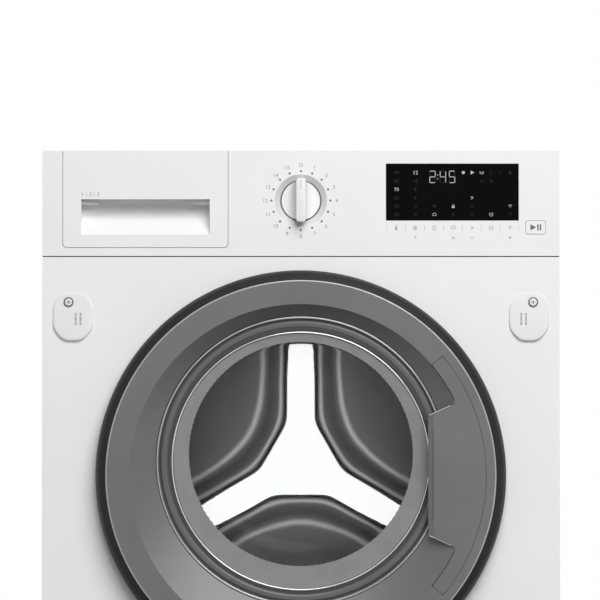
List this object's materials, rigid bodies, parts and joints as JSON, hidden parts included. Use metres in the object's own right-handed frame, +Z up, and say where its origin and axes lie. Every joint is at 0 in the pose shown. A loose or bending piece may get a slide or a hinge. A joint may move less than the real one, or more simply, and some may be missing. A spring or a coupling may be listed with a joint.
{
  "type": "integrated washing machine",
  "caption": "Built-in front-loading washing machine with a round glass door, detergent drawer, programme knob, sprung tub, drum and drive.",
  "frame": {"origin": "on the floor, under the middle of the machine's bounding box", "axes": "+X to the machine's right as seen from the front, +Y to the back, +Z up; the door faces -Y"},
  "size_m": [0.595, 0.55, 0.82],
  "materials": {
    "white_enamel": "smooth white enamel",
    "zinc_sheet": "galvanised sheet",
    "white_plastic": "smooth white plastic",
    "warm_plastic": "satin off-white plastic",
    "display_black": "black display window",
    "board": "grey electronics box",
    "door_grey": "satin dark grey plastic",
    "bezel_grey": "satin anthracite plastic",
    "chrome_trim": "bright trim",
    "door_glass": "clear pressed glass",
    "rubber_grey": "grey rubber",
    "steel": "plain steel",
    "stainless": "stainless sheet",
    "tub_plastic": "filled plastic",
    "weight_iron": "cast iron",
    "alloy": "cast alloy",
    "black_plastic": "black plastic",
    "hose_black": "black rubber",
    "hose_grey": "grey hose"
  },
  "bodies": {
    "cabinet": {"side_panel_left": "zinc_sheet", "side_panel_right": "zinc_sheet", "top_panel": "zinc_sheet", "base_tray": "zinc_sheet", "front_panel": "white_enamel", "plinth_panel": "white_enamel", "rear_panel": "zinc_sheet", "rear_cover": "zinc_sheet", "hinge_covers": "warm_plastic", "panel_screws": "steel", "control_panel": "white_plastic", "display_window": "display_black", "control_board": "board", "dispenser_housing": "tub_plastic", "hinge_bracket": "steel", "hinge_pin": "steel", "door_lock": "black_plastic", "gasket": "rubber_grey", "suspension_springs": "steel", "damper_tubes": "black_plastic", "inlet_valve": "white_plastic", "valve_hose": "hose_grey", "fill_hose": "hose_black", "sump_hose": "hose_black", "drain_pump": "tub_plastic", "drain_hose": "hose_grey", "cord_gland": "black_plastic"},
    "foot_front_left": {"foot_front_left": "black_plastic"},
    "foot_front_right": {"foot_front_right": "black_plastic"},
    "foot_rear_left": {"foot_rear_left": "black_plastic"},
    "foot_rear_right": {"foot_rear_right": "black_plastic"},
    "filter_flap": {"filter_flap": "white_plastic"},
    "filter_cap": {"filter_cap": "black_plastic"},
    "start_button": {"start_button": "white_plastic"},
    "programme_knob": {"programme_knob": "white_plastic"},
    "detergent_drawer": {"drawer_front": "white_plastic", "drawer_tray": "white_plastic"},
    "door": {"door_ring": "door_grey", "door_back_frame": "warm_plastic", "door_screws": "steel", "glass_bezel": "bezel_grey", "glass_trim": "chrome_trim", "door_glass": "door_glass", "hinge_leaf": "steel"},
    "door_handle": {"door_handle": "door_grey"},
    "door_latch": {"door_latch": "black_plastic"},
    "tub": {"tub_front": "tub_plastic", "tub_rear": "tub_plastic", "counterweights": "weight_iron", "heater": "stainless", "bearings": "steel", "motor_body": "alloy", "damper_rods": "steel", "belt": "hose_black"},
    "drum": {"drum_shell": "stainless", "drum_back": "stainless", "drum_lifters": "warm_plastic", "drum_spider": "alloy", "drum_pulley": "alloy"},
    "motor_rotor": {"motor_rotor": "steel"}
  },
  "joints": [
    {"name": "door_hinge", "type": "hinge", "parent": "cabinet", "child": "door", "pos_m": [-0.221, -0.259, 0.4463], "axis": [0, 0, -1], "range_deg": [0, 100]},
    {"name": "handle_pull", "type": "hinge", "parent": "door", "child": "door_handle", "pos_m": [0.203, -0.2718, 0.4463], "axis": [0, 0, 1], "range_deg": [0, 15], "stiffness_Nm_per_rad": 1.2},
    {"name": "latch_turn", "type": "hinge", "parent": "door", "child": "door_latch", "pos_m": [0.2, -0.254, 0.4463], "axis": [0, 0, -1], "range_deg": [0, 7.5]},
    {"name": "drawer_slide", "type": "slide", "parent": "cabinet", "child": "detergent_drawer", "axis": [0, -1, 0], "range_m": [0, 0.19]},
    {"name": "programme_turn", "type": "hinge", "parent": "cabinet", "child": "programme_knob", "pos_m": [0, -0.243, 0.7625], "axis": [0, -1, 0], "continuous": true},
    {"name": "start_press", "type": "slide", "parent": "cabinet", "child": "start_button", "axis": [0, 1, 0], "range_m": [0, 0.0015], "stiffness_N_per_m": 600},
    {"name": "tub_bounce", "type": "slide", "parent": "cabinet", "child": "tub", "axis": [0, 0, 1], "range_m": [-0.012, 0.006], "stiffness_N_per_m": 16000, "springref_m": 0.02517, "deforming": ["suspension_springs", "gasket", "fill_hose", "sump_hose"]},
    {"name": "drum_spin", "type": "hinge", "parent": "tub", "child": "drum", "pos_m": [0, 0.15, 0.463], "axis": [0, 1, 0], "continuous": true},
    {"name": "motor_spin", "type": "hinge", "parent": "tub", "child": "motor_rotor", "pos_m": [-0.07, 0.2, 0.118], "axis": [0, 1, 0], "continuous": true},
    {"name": "flap_tilt", "type": "hinge", "parent": "cabinet", "child": "filter_flap", "pos_m": [0.128, -0.1865, 0.0275], "axis": [1, 0, 0], "range_deg": [0, 90]},
    {"name": "filter_turn", "type": "hinge", "parent": "cabinet", "child": "filter_cap", "pos_m": [0.128, -0.16, 0.058], "axis": [0, 1, 0], "range_deg": [0, 270]},
    {"name": "level_front_left", "type": "slide", "parent": "cabinet", "child": "foot_front_left", "axis": [0, 0, -1], "range_m": [0, 0.02]},
    {"name": "level_front_right", "type": "slide", "parent": "cabinet", "child": "foot_front_right", "axis": [0, 0, -1], "range_m": [0, 0.02]},
    {"name": "level_rear_left", "type": "slide", "parent": "cabinet", "child": "foot_rear_left", "axis": [0, 0, -1], "range_m": [0, 0.02]},
    {"name": "level_rear_right", "type": "slide", "parent": "cabinet", "child": "foot_rear_right", "axis": [0, 0, -1], "range_m": [0, 0.02]}
  ],
  "couplings": [
    {"joint": "latch_turn", "follows": "handle_pull", "ratio": 0.5},
    {"joint": "motor_spin", "follows": "drum_spin", "ratio": 12.727}
  ]
}
